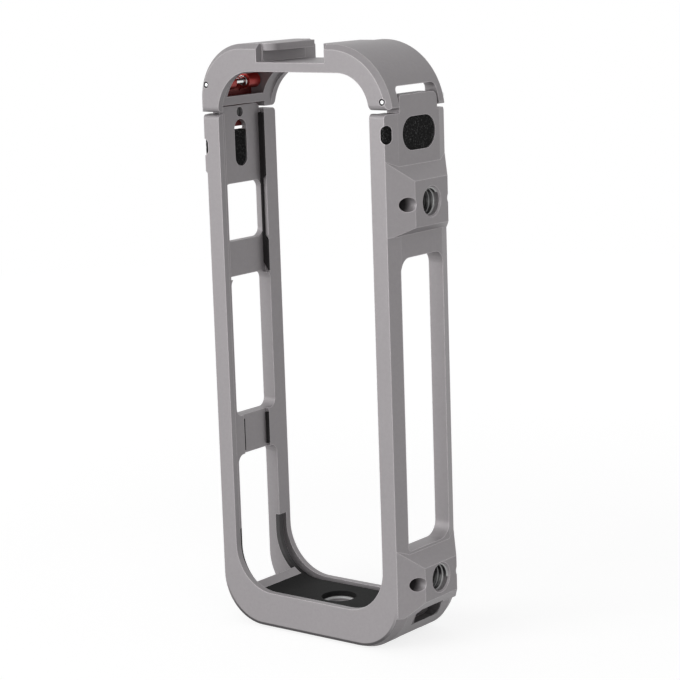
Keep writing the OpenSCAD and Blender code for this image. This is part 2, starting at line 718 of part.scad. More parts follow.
module strap_slot() {
    mirror_x = corner_x + base_corner_r;
    difference() {
        union() {
            x_prism(corner_x, mirror_x + over)
                round_rect(-strap_w / 2, strap_w / 2, strap_z0, strap_z1, strap_mouth_r);
            block(corner_x + strap_z0 - (base_corner_r - strap_core_r) - over, mirror_x - strap_z0,
                -strap_w / 2, strap_w / 2, -over, base_corner_r);
            y_cylinder(corner_x, base_corner_r, strap_core_r + strap_tunnel, -strap_w / 2, strap_w / 2);
        }
        y_cylinder(corner_x, base_corner_r, strap_core_r, -strap_w, strap_w);
        block(-half_w, corner_x + (base_corner_r - strap_z1), -half_d, half_d, -deep_over, cage_h);
        block(0, half_w + deep_over, -half_d, half_d, strap_z1, cage_h);
    }
}

module base_thread_cut() {
    translate([0, 0, -over]) cylinder(r = thread_d / 2, h = liner_floor_z + deep_over, $fn = small);
}

module frame() {
    color([0.60, 0.585, 0.595]) difference() {
        union() {
            frame_outside();
            pad_zone();
            boss(upper_boss_z0, upper_boss_z1, boss_ramp_low);
            boss(lower_boss_z0, lower_boss_z1, lower_boss_ramp);
        }
        camera_space();
        column_tops();
        latch_side_cuts();
        hinge_side_cuts();
        base_thread_cut();
    }
}

// Rubber, foam and cushion parts

module base_liner() {
    color([0.29, 0.29, 0.29]) difference() {
        y_prism(-lip_in_y, liner_half) difference() {
            u_outline(liner_x_l + liner_t, liner_x_r + liner_t, liner_floor_z, liner_wing_z,
                liner_r + liner_t);
            u_outline(liner_x_l, liner_x_r, liner_z, liner_wing_z + over, liner_r);
        }
        cylinder(r = liner_hole_d / 2, h = lip_z, $fn = small);
        x_cylinder(0, lower_thread_z, thread_d / 2 + liner_thread_gap, 0, half_w);
        sill_rim_block();
    }
}

module left_foam() {
    color([0.10, 0.10, 0.10]) {
        x_prism(-pad_zone_x + seat, -latch_foam_x)
            rect(-foam_w / 2, foam_w / 2, latch_foam_z0, latch_foam_z1);
        intersection() {
            translate([0, 0, (slot_z0 + slot_z1) / 2]) rotate([0, 90, 0])
                z_prism(-latch_foam_x - seat, -panel_x - slot_foam_back)
                wide_slot(slot_z1 - slot_z0 - slot_foam_clear * 2, slot_w - slot_foam_clear * 2);
            block(-half_w, 0, -foam_w / 2, foam_w / 2, latch_foam_z0, latch_foam_z1);
        }
    }
}

module right_foam() {
    color([0.10, 0.10, 0.10]) translate([0, 0, foam_z])
        x_prism(hinge_foam_x, hinge_foam_x + foam_t) wide_slot(foam_w, foam_h);
}

module right_front_plug() {
    color([0.10, 0.10, 0.10]) front_plug(face_x, hinge_front_z);
}

module left_front_plug() {
    color([0.10, 0.10, 0.10]) mirror([1, 0, 0]) front_plug(face_x + pad_zone_rise, latch_front_z);
}

// A plug fills its slot and follows the front face and the slope, a little below both
module front_plug(edge_x, z) {
    plug_x = edge_x - plug_back;
    intersection() {
        front_slot(edge_x, z);
        z_prism(z - front_slot_h, z + front_slot_h) polygon([[0, -half_d + plug_back],
            [plug_x, -half_d + plug_back], [plug_x + side_slope_in, -slope_y + plug_back],
            [plug_x + side_slope_in, 0], [0, 0]]);
    }
}

// A cushion strip in the latch side recess: full width beside the panels, slim beside the window
module upper_strip(y0, w) {
    face = w - panel_x;
    mid = strip_waist - panel_x;
    taper = w - strip_waist;
    y_prism(y0, y0 + strip_t) polygon([[-panel_x, middle_window_z1 + window_r],
        [face, middle_window_z1], [face, upper_window_z0 - taper],
        [mid, upper_window_z0], [mid, upper_window_z1],
        [face, upper_window_z1 + taper], [face, strip_z1], [-panel_x, strip_z1]]);
}

module middle_strip(y0, w) {
    y_prism(y0, y0 + strip_t) rect(-low_recess_x, w - low_recess_x, low_strip_z0, low_strip_z1);
}

module hinge_strip(y0, w) {
    y_prism(y0, y0 + strip_t) rect(hinge_tongue_x - w, hinge_tongue_x, hinge_strip_z0, hinge_strip_z1);
}

module left_front_upper_strip() {
    color([0.09, 0.09, 0.09]) upper_strip(-window_half, front_strip_w);
}

module left_rear_upper_strip() {
    color([0.09, 0.09, 0.09]) upper_strip(window_half - strip_t, panel_x - latch_wall_x);
}

module left_front_middle_strip() {
    color([0.09, 0.09, 0.09]) middle_strip(-low_recess_half, front_strip_w);
}

module left_rear_middle_strip() {
    color([0.09, 0.09, 0.09]) middle_strip(low_recess_half - strip_t, low_recess_t);
}

module right_front_upper_strip() {
    color([0.09, 0.09, 0.09]) hinge_strip(-tongue_half, front_strip_w);
}

module right_rear_upper_strip() {
    color([0.09, 0.09, 0.09]) hinge_strip(tongue_half - strip_t, hinge_tongue_x - hinge_wall_x);
}

// Lid

module lid_profile(r) {
    polygon([[0, -half_d], [r - lid_chamfer, -half_d], [r, -half_d + lid_chamfer],
        [r, half_d - lid_rear_chamfer_y], [r - lid_rear_chamfer_x, half_d], [0, half_d]]);
}

module lid_outside() {
    left_x = lid_half - lid_latch_corner_r;
    right_x = lid_half - lid_hinge_corner_r;
    y_turned(-left_x, cage_h - lid_latch_corner_r) lid_profile(lid_latch_corner_r);
    y_turned(right_x, cage_h - lid_hinge_corner_r) lid_profile(lid_hinge_corner_r);
    x_prism(-left_x, right_x) polygon([[-half_d, lid_latch_z0], [-half_d, cage_h - lid_chamfer],
        [-half_d + lid_chamfer, cage_h], [half_d - lid_rear_chamfer_y, cage_h],
        [half_d, cage_h - lid_rear_chamfer_x], [half_d, lid_latch_z0]]);
    z_prism(lid_latch_z0, cage_h - lid_latch_corner_r) polygon([[0, -half_d],
        [-lid_half + lid_chamfer, -half_d], [-lid_half, -half_d + lid_chamfer],
        [-lid_half, half_d - lid_rear_chamfer_y], [-lid_half + lid_rear_chamfer_x, half_d],
        [0, half_d]]);
}

module lid_space() {
    low = lid_latch_z0 - base_corner_r;
    y_prism(-half_d - over, half_d + over) arch_outline(lip_half, lip_half, low, lid_lip_z,
        lid_lip_latch_r, lid_lip_hinge_r);
    y_prism(-lip_in_y, half_d + over) arch_outline(latch_wall_x, latch_wall_x, low,
        lid_lip_z, lid_ceiling_r, lid_ceiling_hinge_r);
    y_prism(-lip_in_y, lip_in_y) arch_outline(latch_wall_x, latch_wall_x, low, lid_ceiling_z,
        lid_ceiling_r, lid_ceiling_hinge_r);
    block(0, lid_w, -cage_d, cage_d, 0, lid_hinge_z0);
    block(-lid_w, 0, -cage_d, cage_d, 0, lid_latch_z0);
}

module ear_rounding(x0, x1, z0) {
    both_ends() x_prism(x0, x1) difference() {
        rect(half_d - ear_r, half_d + over, z0 - over, z0 + ear_r);
        translate([half_d - ear_r, z0 + ear_r]) circle(r = ear_r, $fn = small);
    }
}

// Everything cut for the lever: its seat in the outer wall, the window inside and the tongue's room
module lever_room() {
    block(-lid_w, -web_x, -pocket_half, pocket_half, lid_latch_z0 - over, latch_pin_z);
    y_prism(-pocket_half, pocket_half) polygon([[-lid_w, latch_pin_z - over], [-web_x, latch_pin_z - over],
        [-latch_wall_x + barrel_r, latch_pin_z + barrel_r], [-latch_wall_x + barrel_r, pocket_z1],
        [-latch_wall_x + lever_swing_room, lever_z1 + seat], [-lid_w, lever_z1 + seat]]);
    block(-lid_w, -lip_half + deep_over, -pocket_half, pocket_half, pocket_z0, pocket_z1);
    block(-lid_w, -lip_half + over, -latch_cut_half, latch_cut_half, lid_latch_z0 - over, web_z0);
}

module shoe_cut() {
    z_prism(shoe_lip_z - seat, cage_h + over) {
        rect(-shoe_gap / 2, shoe_gap / 2, -half_d - over, shoe_end_y + over);
        rect(-shoe_entry_w / 2, shoe_entry_w / 2, -half_d - over, -half_d + shoe_entry_d);
        difference() {
            rect(-shoe_entry_w / 2, shoe_entry_w / 2, -half_d, -half_d + shoe_entry_d + shoe_lead_r);
            for (side = [-1, 1]) translate([side * (shoe_gap / 2 + shoe_lead_r),
                -half_d + shoe_entry_d + shoe_lead_r]) circle(r = shoe_lead_r, $fn = small);
        }
    }
    z_prism(shoe_floor_z, shoe_lip_z) {
        rect(-shoe_w / 2, shoe_w / 2, -half_d - over, shoe_end_y + over);
        rect(-shoe_entry_w / 2, shoe_entry_w / 2, -half_d - over, -half_d + shoe_entry_d);
    }
    block(-shoe_step_w / 2, shoe_step_w / 2, shoe_end_y, half_d + over, shoe_floor_z - shoe_step_drop,
        cage_h + over);
}

module lid() {
    color([0.60, 0.585, 0.595]) difference() {
        lid_outside();
        lid_space();
        y_prism(-half_d - over, half_d + over) difference() {
            rect(lid_half - ear_r, lid_w, 0, lid_hinge_z0 + ear_r);
            translate([lid_half - ear_r, lid_hinge_z0 + ear_r]) circle(r = ear_r, $fn = small);
        }
        ear_rounding(0, lid_w, lid_hinge_z0);
        ear_rounding(-lid_w, 0, lid_latch_z0);
        x_prism(lip_half - over, lid_w) round_rect(-hinge_cut_half, hinge_cut_half,
            lid_hinge_z0 - base_corner_r, hinge_cut_z, hinge_cut_r);
        lever_room();
        shoe_cut();
        y_cylinder(hinge_pin_x, hinge_pin_z, pin_d / 2, -half_d - over, half_d + over);
        y_cylinder(-latch_pin_x, latch_pin_z, pin_d / 2, -half_d - over, half_d + over);
    }
}

module lid_pad() {
    color([0.29, 0.29, 0.29]) block(-lid_pad_w / 2, lid_pad_w / 2, -lid_pad_d / 2, lid_pad_d / 2,
        lid_ceiling_z - lid_pad_t, lid_ceiling_z);
}

module hinge_pin() {
    color([0.85, 0.85, 0.85]) y_cylinder(hinge_pin_x, hinge_pin_z, pin_d / 2, -half_d + pin_back,
        half_d - pin_back);
}

module latch_pin() {
    color([0.85, 0.85, 0.85]) y_cylinder(-latch_pin_x, latch_pin_z, pin_d / 2, -half_d + pin_back,
        half_d - pin_back);
}

// Latch

// The lever's section: a straight blade, the barrel round the pin and a curved thumb end on top
module lever_section() {
    corner = lid_half - lid_latch_corner_r;
    corner_z = cage_h - lid_latch_corner_r;
    blade_t = lever_out_x - lever_in_x;
    rect(-lever_out_x, -lever_in_x, lever_z0, corner_z);
    intersection() {
        difference() {
            translate([-corner, corner_z]) circle(r = lid_latch_corner_r, $fn = fine);
            translate([-corner, corner_z]) circle(r = lid_latch_corner_r - blade_t, $fn = fine);
        }
        rect(-lid_w, -corner, corner_z - seat, lever_z1);
    }
    translate([-latch_pin_x, latch_pin_z]) circle(r = barrel_r, $fn = small);
    rect(-lever_in_x - seat, -latch_pin_x, latch_pin_z - barrel_r, latch_pin_z + barrel_r);
}

module latch_lever() {
    color([0.70, 0.13, 0.10]) difference() {
        y_prism(-lever_w / 2, lever_w / 2) lever_section();
        y_cylinder(-latch_pin_x, latch_pin_z, pin_d / 2 + pin_clear, -lever_w, lever_w);
        block(-latch_pin_x - coil_r - wire_d, 0, -spring_slot_w / 2, spring_slot_w / 2,
            latch_pin_z - barrel_r - over, latch_pin_z + barrel_r + over);
        x_cylinder(0, bolt_z, bolt_d / 2, -lever_in_x - bolt_seat, -lever_in_x + over);
    }
}

module latch_bolt() {
    color([0.8, 0.8, 0.8]) x_cylinder(0, bolt_z, bolt_d / 2, -lever_in_x - bolt_seat, -bolt_in_x);
}

// The latch spring as one unbroken tube: a straight leg, the coil, and a second straight leg.
// Points of the wire's middle line are given in the plane across the pin (u towards +X, v up) and along it.
function coil_point(a) = [-latch_pin_x + coil_r * cos(a), a / 360 * coil_pitch - coil_l / 2,
    latch_pin_z + coil_r * sin(a)];
low_leg_l = latch_pin_z - pocket_z0 - wire_d / 2;
coil_steps = coil_turns * rings_per_turn;
start_leg = [coil_point(0) - [0, 0, low_leg_l], coil_point(0) - [0, 0, wire_d]];
end_leg = [coil_point(360 * coil_turns) + [0, 0, wire_d], coil_point(360 * coil_turns) + [0, 0, leg_l]];
wire_path = concat(start_leg, [for (k = [0:coil_steps]) coil_point(360 * k / rings_per_turn)], end_leg);

module latch_spring() {
    color([0.82, 0.82, 0.82]) spring_body();
}

module spring_body() {
    n = len(wire_path);
    dirs = [for (k = [0:n - 1]) unit(wire_path[min(k + 1, n - 1)] - wire_path[max(k - 1, 0)])];
    rings = [for (k = [0:n - 1]) let (
        out = unit(radial(k, n)),
        side = unit(cross(dirs[k], out)),
        up = cross(side, dirs[k]))
        [for (j = [0:wire_sides - 1]) wire_path[k]
            + (cos(360 * j / wire_sides) * up + sin(360 * j / wire_sides) * side) * wire_d / 2]];
    points = [for (ring = rings) for (p = ring) p];
    sides = [for (k = [0:n - 2], j = [0:wire_sides - 1]) let (
        a = k * wire_sides + j,
        b = k * wire_sides + (j + 1) % wire_sides)
        [[a, b, b + wire_sides], [a, b + wire_sides, a + wire_sides]]];
    walls = [for (pair = sides) for (t = pair) t];
    first = [for (j = [1:wire_sides - 2]) [0, j + 1, j]];
    base = (n - 1) * wire_sides;
    last = [for (j = [1:wire_sides - 2]) [base, base + j, base + j + 1]];
    polyhedron(points = points, faces = concat(walls, first, last));
}

function unit(v) = v / norm(v);
function clamp_step(k, n) = min(max(k - len(start_leg), 0), coil_steps);
function radial(k, n) = [cos(360 * clamp_step(k, n) / rings_per_turn), 0,
    sin(360 * clamp_step(k, n) / rings_per_turn)];

// The least gap of the spring to itself, measured between points more than half a turn apart
wire_gaps = [for (i = [0:len(wire_path) - 1], j = [0:len(wire_path) - 1])
    if (j > i + rings_per_turn / 2) norm(wire_path[i] - wire_path[j]) - wire_d];
echo(spring_least_gap = min(wire_gaps));

frame();
base_liner();
left_foam();
right_foam();
left_front_plug();
right_front_plug();
left_front_upper_strip();
left_rear_upper_strip();
left_front_middle_strip();
left_rear_middle_strip();
right_front_upper_strip();
right_rear_upper_strip();
lid();
lid_pad();
hinge_pin();
latch_pin();
latch_lever();
latch_spring();
latch_bolt();
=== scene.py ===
# %% [markdown]
# A camera cage in grey anodised aluminium: an upright frame with windows and side bosses, a hinged
# lid with a shoe slot, and a red latch lever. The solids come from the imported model, so this script
# dresses them. It gives every part its finish, adds what is too fine for the solids (the turns of
# the threads, the ends of the pins, the spring's wire and the cells of the four foam pieces), and
# sets up a small photo studio.

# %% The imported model
import math

import bmesh
import bpy
from mathutils import Matrix, Vector, noise


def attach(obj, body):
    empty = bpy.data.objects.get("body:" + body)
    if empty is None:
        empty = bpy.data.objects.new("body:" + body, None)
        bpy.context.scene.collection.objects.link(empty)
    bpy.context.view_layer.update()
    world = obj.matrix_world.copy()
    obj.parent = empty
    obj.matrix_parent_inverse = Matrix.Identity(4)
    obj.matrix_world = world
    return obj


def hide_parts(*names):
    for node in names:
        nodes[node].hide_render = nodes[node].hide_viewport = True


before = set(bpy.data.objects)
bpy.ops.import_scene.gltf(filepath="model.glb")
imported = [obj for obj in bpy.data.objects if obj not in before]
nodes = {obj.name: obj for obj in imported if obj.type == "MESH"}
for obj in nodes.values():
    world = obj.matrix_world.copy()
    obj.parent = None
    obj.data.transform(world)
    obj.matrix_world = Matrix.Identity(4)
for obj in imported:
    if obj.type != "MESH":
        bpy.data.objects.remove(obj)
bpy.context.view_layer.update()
MM = 0.001
print("parts:", ", ".join(sorted(nodes)))

# %% [markdown]
# The camera stands where the photographer's stood: a little above the cage, to its right, with a
# long lens. Its axes are built from a turn, a tilt and a small roll, which is easier to check than
# three Euler angles.

# %% Camera
TURN, TILT, ROLL = math.radians(37.94), math.radians(10.58), math.radians(-1.89)
CAMERA_AT = Vector((309.5, -393.4, 162.1)) * MM
LENS, SENSOR = 116.36, 36
NEAREST = 0.01

right = Vector((math.cos(TURN), math.sin(TURN), 0))
ahead = Vector((-math.sin(TURN), math.cos(TURN), 0))
up = Vector((0, 0, 1))
look = ahead * math.cos(TILT) - up * math.sin(TILT)
above = ahead * math.sin(TILT) + up * math.cos(TILT)
cam_x = right * math.cos(ROLL) + above * math.sin(ROLL)
cam_y = above * math.cos(ROLL) - right * math.sin(ROLL)

camera = bpy.data.objects.new("camera", bpy.data.cameras.new("camera"))
camera.data.lens = LENS
camera.data.sensor_width = SENSOR
camera.data.clip_start = NEAREST
camera.matrix_world = Matrix((
    (cam_x.x, cam_y.x, -look.x, CAMERA_AT.x),
    (cam_x.y, cam_y.y, -look.y, CAMERA_AT.y),
    (cam_x.z, cam_y.z, -look.z, CAMERA_AT.z),
    (0, 0, 0, 1)))
bpy.context.scene.collection.objects.link(camera)
bpy.context.scene.camera = camera
print("camera at", tuple(round(v, 4) for v in CAMERA_AT))

# %% [markdown]
# Shader maths reads best as plain sums. `Wire` wraps one socket of a material's node tree, so that
# `tone * 0.5 + grain` adds the Math nodes by itself. A wired-up node of any kind comes from `put`,
# which takes the tree, the node's type, its settings and its inputs.

# %% Shader sums
def put(tree, kind, settings, inputs, output=0):
    """Adds a node to a tree and gives back one of its outputs."""
    node = tree.nodes.new(kind)
    for key, value in settings.items():
        setattr(node, key, value)
    for key, value in inputs.items():
        if isinstance(value, Wire):
            tree.links.new(value.socket, node.inputs[key])
        else:
            node.inputs[key].default_value = value
    return Wire(tree, node.outputs[output])


class Wire:
    """One socket of a shader tree, ready for sums."""

    def __init__(self, tree, socket):
        self.tree, self.socket = tree, socket

    def sums(self, operation, *values):
        return put(self.tree, "ShaderNodeMath", {"operation": operation}, dict(enumerate(values)))

    def __add__(self, other):
        return self.sums("ADD", self, other)

    __radd__ = __add__

    def __sub__(self, other):
        return self.sums("SUBTRACT", self, other)

    def __rsub__(self, other):
        return self.sums("SUBTRACT", other, self)

    def __mul__(self, other):
        return self.sums("MULTIPLY", self, other)

    def __abs__(self):
        return self.sums("ABSOLUTE", self)

    def most(self, other):
        """The larger of two values."""
        return self.sums("MAXIMUM", self, other)

# %% [markdown]
# Every finish below is one `Coat`: a material with its Principled shader and the object's own
# coordinates. Object coordinates travel with a part, so a pattern stays put when the lid opens.
# The masks `rising` and `falling` turn a distance into a soft step, and `edges` finds sharp edges
# by comparing the true normal with a rounded one.

# %% A coat of finish
MASK, LOW, HIGH, MIXED = 0, 6, 7, 2        # colour sockets of the Mix node
BEVEL_SAMPLES = 6
EDGE_GAIN = 26.0


class Coat:
    """One material: its Principled shader, and the place that its patterns read."""

    def __init__(self, name, color, roughness, metallic=0.0, **fixed):
        self.material = bpy.data.materials.new(name)
        self.material.use_nodes = True
        self.tree = self.material.node_tree
        self.shader = self.tree.nodes["Principled BSDF"]
        self.shader.inputs["Base Color"].default_value = (*color, 1)
        self.shader.inputs["Metallic"].default_value = metallic
        self.shader.inputs["Roughness"].default_value = roughness
        for socket, value in fixed.items():
            self.shader.inputs[socket.replace("_", " ")].default_value = value
        self.place = self.add("ShaderNodeTexCoord", {}, {}, "Object")

    def add(self, kind, settings, inputs, output=0):
        return put(self.tree, kind, settings, inputs, output)

    def along(self, axis):
        """The object coordinate along X, Y or Z."""
        return self.add("ShaderNodeSeparateXYZ", {}, {0: self.place}, axis)

    def speckle(self, scale, detail=2.0):
        """Noise of about one grain in 1/scale metres."""
        return self.add("ShaderNodeTexNoise", {},
                        {"Vector": self.place, "Scale": scale, "Detail": detail})

    def between(self, mask, low, high):
        """Low where the mask is 0 and high where it is 1, each a colour or a wire."""
        low, high = (end if isinstance(end, Wire) else (*end, 1) for end in (low, high))
        return self.add("ShaderNodeMix", {"data_type": "RGBA"},
                        {MASK: mask, LOW: low, HIGH: high}, MIXED)

    def rising(self, wire, low, high, unit=MM):
        """0 below low, 1 above high, and even between them."""
        return self.add("ShaderNodeMapRange", {}, {0: wire, 1: low * unit, 2: high * unit})

    def falling(self, wire, low, high):
        """1 below low, 0 above high, and even between them."""
        return self.rising(wire, high, low)

    def rounded(self, width):
        """The normal of the surface with its edges rounded over that width."""
        return self.add("ShaderNodeBevel", {"samples": BEVEL_SAMPLES}, {"Radius": width * MM})

    def edges(self, width):
        """1 on sharp edges, 0 on flat ground."""
        flat = self.add("ShaderNodeNewGeometry", {}, {}, "Normal")
        same = self.add("ShaderNodeVectorMath", {"operation": "DOT_PRODUCT"},
                        {0: self.rounded(width), 1: flat}, "Value")
        return self.add("ShaderNodeMath", {"operation": "MULTIPLY", "use_clamp": True},
                        {0: 1.0 - same, 1: EDGE_GAIN})

    def feed(self, socket, wire):
        self.tree.links.new(wire.socket, self.shader.inputs[socket])

    def fed(self, socket):
        """What feeds a socket so far."""
        return Wire(self.tree, self.shader.inputs[socket].links[0].from_socket)

    def relief(self, height, distance, strength, soft_edge=None):
        """Bumps of the given height, on a normal with its edges rounded if that is asked for."""
        inputs = {"Height": height, "Distance": distance * MM, "Strength": strength}
        if soft_edge:
            inputs["Normal"] = self.rounded(soft_edge)
        self.feed("Normal", self.add("ShaderNodeBump", {}, inputs))


def dress(part, coat):
    part.data.materials.clear()
    part.data.materials.append(coat.material)

# %% [markdown]
# Small holes let little light in, and in the photograph they are nearly black, so their shade is
# painted into the colour. Each side boss has a tapped hole with a locating hole on either side of it,
# all of them along X. So one distance from the axis, measured across X, and one depth along X make
# the mask. It stops just under the floor of a blind hole, or the wall's inner face would get dark
# discs. The strap's tunnel, below the lower holes, gets painted shade in the same way.

# %% Painted shade in the side holes
HOLE_LEVELS = (102.5, 16.3)
SIDE_HOLES = ((7.5, 1.6, 24.6), (0, 3.175, 20))        # Y, radius, and X of the floor
HOLE_DARK_X, HOLE_LIT_X = 26.7, 28.2
STRAP_HALF, STRAP_LOW, STRAP_HIGH = 5.1, 5.2, 9.7
STRAP_DARK_X, STRAP_LIT_X = 25.2, 26.6
STRAP_SHARE = 0.75
WALL_X = 22.0


def side_holes(coat):
    """1 far inside the tapped and locating holes, for painted shade."""
    deep = coat.falling(coat.along("X"), HOLE_DARK_X, HOLE_LIT_X)
    across = coat.add("ShaderNodeCombineXYZ", {}, {1: abs(coat.along("Y")), 2: coat.along("Z")})
    holes = None
    for z in HOLE_LEVELS:
        for y, radius, floor_x in SIDE_HOLES:
            away = coat.add("ShaderNodeVectorMath", {"operation": "DISTANCE"},
                            {0: across, 1: Vector((0, y, z)) * MM}, "Value")
            hole = coat.falling(away, radius + 0.04, radius + 0.12)
            hole = hole * coat.rising(coat.along("X"), floor_x - 0.3, floor_x - 0.1)
            holes = hole if holes is None else holes.most(hole)
    return holes * deep


def strap_tunnel(coat):
    """Up to STRAP_SHARE of painted shade inside the mouth of the strap's tunnel."""
    mouth = coat.falling(abs(coat.along("Y")), STRAP_HALF, STRAP_HALF + 0.2)
    mouth = mouth * coat.rising(coat.along("Z"), STRAP_LOW, STRAP_LOW + 0.4)
    mouth = mouth * coat.falling(coat.along("Z"), STRAP_HIGH, STRAP_HIGH + 0.2)
    return mouth * coat.falling(coat.along("X"), STRAP_DARK_X, STRAP_LIT_X) * STRAP_SHARE


def painted_hole_shade(coat):
    """Painted shade: 1 inside the side holes and the strap's tunnel, and 0 on the inner side of the
    wall.
    """
    outside = coat.rising(coat.along("X"), WALL_X, WALL_X + 0.2)
    return strap_tunnel(coat).most(side_holes(coat)) * outside

# %% [markdown]
# The cage stands on white paper and shades it, so the lower edge of the front is a dark line, which
# is painted shade. The chamfer there is shallow and the line follows the outline: straight below,
# round at the corners. Its mask is the distance from the outline, which is a straight run with a
# quarter circle at either end. Faces that look down get a weaker painted shade.

# %% Painted shade under the base
CORNER_X, CORNER_Z, CORNER_R = 14.3, 11.9, 11.3        # centre and radius of the round corners
BAND = 0.6
FRONT_Y = -11.3
LOW_Z, HIGH_Z = 3, 10
BELOW_SHARE = 0.6


def underside_shade(coat):
    """Painted shade: 1 along the lower edge of the front, and less on faces that look down."""
    x, y, z = (coat.along(axis) for axis in "XYZ")
    out = (abs(x) - CORNER_X * MM).most(0.0)
    fall = (CORNER_Z * MM - z).most(0.0)
    square = out * out + fall * fall
    reach = square.sums("SQRT", square)
    edge = coat.rising(reach, CORNER_R - BAND - 0.1, CORNER_R - BAND + 0.1)
    front = coat.falling(y, FRONT_Y + 0.1, FRONT_Y + 0.3)
    low = coat.falling(z, LOW_Z, HIGH_Z)
    normal = coat.add("ShaderNodeNewGeometry", {}, {}, "Normal")
    facing = coat.add("ShaderNodeSeparateXYZ", {}, {0: normal}, "Z")
    below = coat.rising(0.0 - facing, 0.15, 0.95, unit=1) * low
    return (edge * front * low).most(below * BELOW_SHARE)

# %% [markdown]
# The base thread is seen through the round hole in the liner. A turned ring of bare metal lies
# round the thread, and outside it the liner shades the base, and that shade is painted into the
# base's colour. Both are rings on the inner face of the base, so a radius and a level are enough.

# %% The seat of the base thread
SEAT_Z, SEAT_R, TURNED_R = 5.7, 4.3, 3.75


def thread_seat(coat):
    """Two masks for the base round its thread: the bare turned ring, and the painted shade outside
    it.
    """
    flat = coat.add("ShaderNodeCombineXYZ", {}, {0: coat.along("X"), 1: coat.along("Y")})
    radius = coat.add("ShaderNodeVectorMath", {"operation": "LENGTH"}, {0: flat}, "Value")
    level = coat.along("Z")
    seat = coat.rising(level, SEAT_Z - 0.4, SEAT_Z - 0.2)
    seat = seat * coat.falling(level, SEAT_Z + 0.1, SEAT_Z + 0.3)
    seat = seat * coat.falling(radius, SEAT_R, SEAT_R + 0.1)
    turned = coat.falling(radius, TURNED_R - 0.05, TURNED_R + 0.05)
    return seat * turned, seat * (1.0 - turned)

# %% [markdown]
# The frame and lid are milled, bead blasted and anodised in a warm grey. Beads leave a fine,
# even frosting that scatters the light, and the tool passes under it still show as very faint
# changes of tone. Edges are broken, so they catch a thin line of light, painted in as a highlight.
# In the photograph the lid is a little darker than the frame.

# %% Anodised aluminium
GREY = (0.345, 0.325, 0.335)
LID_SHARE = 0.93
BARE_METAL = (0.8, 0.8, 0.8)
BEADS, BLASTING, TOOL_PASSES = 5200, 1400, 42
UNDER_SHADE_SHARE, HOLE_SHADE_SHARE, SEAT_SHADE_SHARE = 0.85, 0.92, 0.8
GROUND_TINTS, EDGE_HIGHLIGHT_TINT, SHADE_TINT = (0.9, 1.09), 1.8, 0.08


def tinted(tone, share):
    """The same colour, darker or lighter, and never above white."""
    return tuple(min(1, v * share) for v in tone)


def anodised(name, tone):
    coat = Coat(name, tone, roughness=0.46, metallic=0.3)
    frosting = coat.speckle(BEADS, 3)
    clouds = coat.speckle(BLASTING) * 0.7 + coat.speckle(TOOL_PASSES) * 0.3
    rim = coat.edges(0.26)
    bare, shade = thread_seat(coat)
    # Painted shade of the holes, the lower front edge and the thread's seat, mixed into one mask.
    painted_shade = (underside_shade(coat) * UNDER_SHADE_SHARE).most(painted_hole_shade(coat) * HOLE_SHADE_SHARE).most(shade * SEAT_SHADE_SHARE)
    ground = coat.between(clouds, *(tinted(tone, share) for share in GROUND_TINTS))
    # Painted highlight: a thin lighter line along the edges.
    edge_highlight = coat.between(rim * 0.9, ground, tinted(tone, EDGE_HIGHLIGHT_TINT))
    shaded = coat.between(painted_shade, edge_highlight, tinted(tone, SHADE_TINT))
    coat.feed("Base Color", coat.between(bare, shaded, BARE_METAL))
    coat.feed("Roughness", 0.42 + frosting * 0.1 - rim * 0.08 + painted_shade * 0.3)
    coat.relief(frosting, 0.012, 0.55, soft_edge=0.12)
    return coat


dress(nodes["frame"], anodised("warm_grey_frame", GREY))
dress(nodes["lid"], anodised("warm_grey_lid", tinted(GREY, LID_SHARE)))
print("grey on frame and lid, tone", GREY)

# %% [markdown]
# The liner and the strips are moulded silicone: matte, slightly dusty, with the faint grain of a
# spark-eroded mould. In the photograph the liner is nearly black on the base, and its wings on the
# posts are lighter with sheen, which is painted in as a lighter tone higher up. The strips have one
# dark tone.

# %% Rubber
WING_LOW, WING_HIGH = 8, 13
LINER_TONE, WING_SHEEN_TONE = (0.014, 0.014, 0.014), (0.12, 0.116, 0.118)
STRIP_TONE = (0.03, 0.028, 0.029)
MOULD_GRAIN, DUST = 2600, 160


def rubber(name, tone, sheen_tone):
    coat = Coat(name, tone, roughness=0.72, Specular_IOR_Level=0.12)
    grain = coat.speckle(MOULD_GRAIN, 4)
    patches = coat.speckle(DUST, 3) * 0.4 + 0.8
    # Painted sheen: the tone grows lighter from the base up to the wings.
    wing_sheen = coat.rising(coat.along("Z"), WING_LOW, WING_HIGH)
    coat.feed("Base Color", coat.add(
        "ShaderNodeMix", {"data_type": "RGBA", "blend_type": "MULTIPLY"},
        {MASK: 1.0, LOW: coat.between(wing_sheen, tone, sheen_tone), HIGH: patches}, MIXED))
    coat.feed("Roughness", 0.62 + grain * 0.22)
    coat.relief(grain, 0.02, 0.6, soft_edge=0.15)
    return coat


liner_rubber = rubber("liner_silicone", LINER_TONE, WING_SHEEN_TONE)
strip_rubber = rubber("strip_silicone", STRIP_TONE, STRIP_TONE)
for name, part in nodes.items():
    if name.endswith("_strip"):
        dress(part, strip_rubber)
    elif name in ("base_liner", "lid_pad"):
        dress(part, liner_rubber)
        print("rubber on", name)

# %% [markdown]
# The lever is anodised red over the same blasted aluminium, glossier than the grey. Its inner side
# is hollow and looks dark through the window in the lid, so painted shade darkens it from the top of
# the hollow down.

# %% Red lever
RED, RED_DEEP, RED_LIGHT = (0.6, 0.04, 0.035), (0.52, 0.035, 0.03), (0.66, 0.05, 0.042)
RED_EDGE_HIGHLIGHT, RED_SHADE = (0.85, 0.24, 0.2), (0.05, 0.006, 0.005)
RED_BEADS, RED_CLOUDS = 4200, 70
HOLLOW_X, HOLLOW_LOW, HOLLOW_HIGH = -26.62, 125.6, 128.6
HOLLOW_SHADE_SHARE = 0.8

